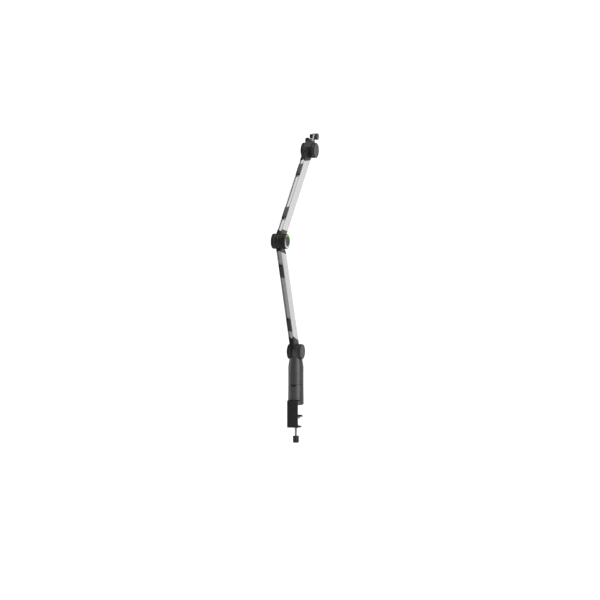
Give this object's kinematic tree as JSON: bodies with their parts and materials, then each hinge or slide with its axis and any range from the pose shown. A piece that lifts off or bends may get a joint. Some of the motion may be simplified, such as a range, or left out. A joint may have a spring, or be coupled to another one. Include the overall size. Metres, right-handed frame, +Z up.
{
  "type": "desk clamp boom stand",
  "caption": "Desk-clamped boom stand: swivel column, round friction hubs and box arms with cable channels and clips, light ring on the elbow, tilting head with a socket.",
  "frame": {"origin": "middle of the desk pad's underside, on the column's swivel axis", "axes": "+Z up along the column, +X along the hub axles towards the light ring, -Y towards the clamp's web"},
  "size_m": [0.0514, 0.3514, 1.0088],
  "materials": {
    "grey_metal": "satin metallic dark grey",
    "black_metal": "fine black powder coat",
    "black_plastic": "finely textured black",
    "clip_plastic": "matte black",
    "rubber": "matte",
    "silver_aluminium": "satin anodised",
    "zinc_steel": "bright zinc plated",
    "brass": "dull brass",
    "circuit_board": "solder resist",
    "light_diffuser": "frosted light diffuser",
    "cap_gloss": "smooth"
  },
  "bodies": {
    "base": {"base_column": "grey_metal", "desk_pad": "rubber", "clamp_bracket": "black_metal", "bracket_screw_left": "zinc_steel", "bracket_screw_right": "zinc_steel", "threaded_bush": "zinc_steel", "swivel_post": "zinc_steel", "post_retaining_ring": "zinc_steel", "power_inlet": "black_plastic"},
    "pressure_foot": {"pressure_plate": "black_metal", "pressure_pad": "rubber", "plate_retainer": "zinc_steel"},
    "screw": {"clamp_screw": "zinc_steel", "clamp_knob": "black_plastic"},
    "swivel": {"upper_column": "grey_metal", "lower_swivel_bush": "black_plastic", "upper_swivel_bush": "black_plastic", "shoulder_tension_cap": "black_plastic", "shoulder_bolt": "zinc_steel", "shoulder_lock_nut": "zinc_steel", "shoulder_end_cover": "black_plastic"},
    "lower_arm": {"lower_arm_profile": "silver_aluminium", "lower_arm_bottom_cap": "black_plastic", "lower_arm_top_cap": "black_plastic", "lower_arm_lower_clip": "clip_plastic", "lower_arm_upper_clip": "clip_plastic", "shoulder_outer_washer": "brass", "shoulder_inner_washer": "brass", "elbow_tension_cap": "black_plastic", "elbow_bolt": "zinc_steel", "elbow_lock_nut": "zinc_steel", "light_housing": "black_plastic", "light_board": "circuit_board", "light_ring": "light_diffuser", "light_centre_cap": "cap_gloss"},
    "upper_arm": {"upper_arm_profile": "silver_aluminium", "upper_arm_bottom_cap": "black_plastic", "upper_arm_top_cap": "black_plastic", "upper_arm_lower_clip": "clip_plastic", "upper_arm_upper_clip": "clip_plastic", "elbow_outer_washer": "brass", "elbow_inner_washer": "brass", "head_tension_cap": "black_plastic", "head_bolt": "zinc_steel", "head_lock_nut": "zinc_steel", "head_end_cover": "black_plastic"},
    "head": {"head_block": "black_plastic", "head_outer_washer": "brass", "head_inner_washer": "brass"},
    "neck": {"neck": "silver_aluminium", "neck_collar": "zinc_steel", "lock_end_cap": "black_plastic"},
    "lock_knob": {"lock_knob": "black_plastic"},
    "thumb_screw": {"thumb_screw": "black_plastic"}
  },
  "joints": [
    {"name": "clamp_travel", "type": "slide", "parent": "base", "child": "pressure_foot", "axis": [0, 0, 1], "range_m": [-0.02, 0.027]},
    {"name": "clamp_screw_turn", "type": "hinge", "parent": "pressure_foot", "child": "screw", "pos_m": [0, 0, -0.05], "axis": [0, 0, 1], "range_deg": [-5800, 7800]},
    {"name": "column_swivel", "type": "hinge", "parent": "base", "child": "swivel", "pos_m": [0, 0, 0.0675], "axis": [0, 0, 1], "range_deg": [-180, 180]},
    {"name": "shoulder_tilt", "type": "hinge", "parent": "swivel", "child": "lower_arm", "pos_m": [0, 0, 0.175], "axis": [1, 0, 0], "range_deg": [-75, 50]},
    {"name": "elbow_tilt", "type": "hinge", "parent": "lower_arm", "child": "upper_arm", "pos_m": [0, -0.14887, 0.54627], "axis": [1, 0, 0], "range_deg": [-65, 66]},
    {"name": "head_tilt", "type": "hinge", "parent": "upper_arm", "child": "head", "pos_m": [0, 0.13397, 0.82911], "axis": [1, 0, 0], "range_deg": [-80, 10]},
    {"name": "neck_swivel", "type": "hinge", "parent": "head", "child": "neck", "pos_m": [0.003, 0.15186, 0.85319], "axis": [0, 0.5962, 0.8028], "range_deg": [-15, 15]},
    {"name": "lock_knob_turn", "type": "hinge", "parent": "neck", "child": "lock_knob", "pos_m": [0.013, 0.16647, 0.87286], "axis": [1, 0, 0], "range_deg": [-360, 360]},
    {"name": "thumb_screw_turn", "type": "hinge", "parent": "head", "child": "thumb_screw", "pos_m": [-0.016, 0.1571, 0.86026], "axis": [-1, 0, 0], "range_deg": [-360, 360]}
  ],
  "couplings": [
    {"joint": "clamp_screw_turn", "follows": "clamp_travel", "rad_per_m": 5026.5}
  ]
}
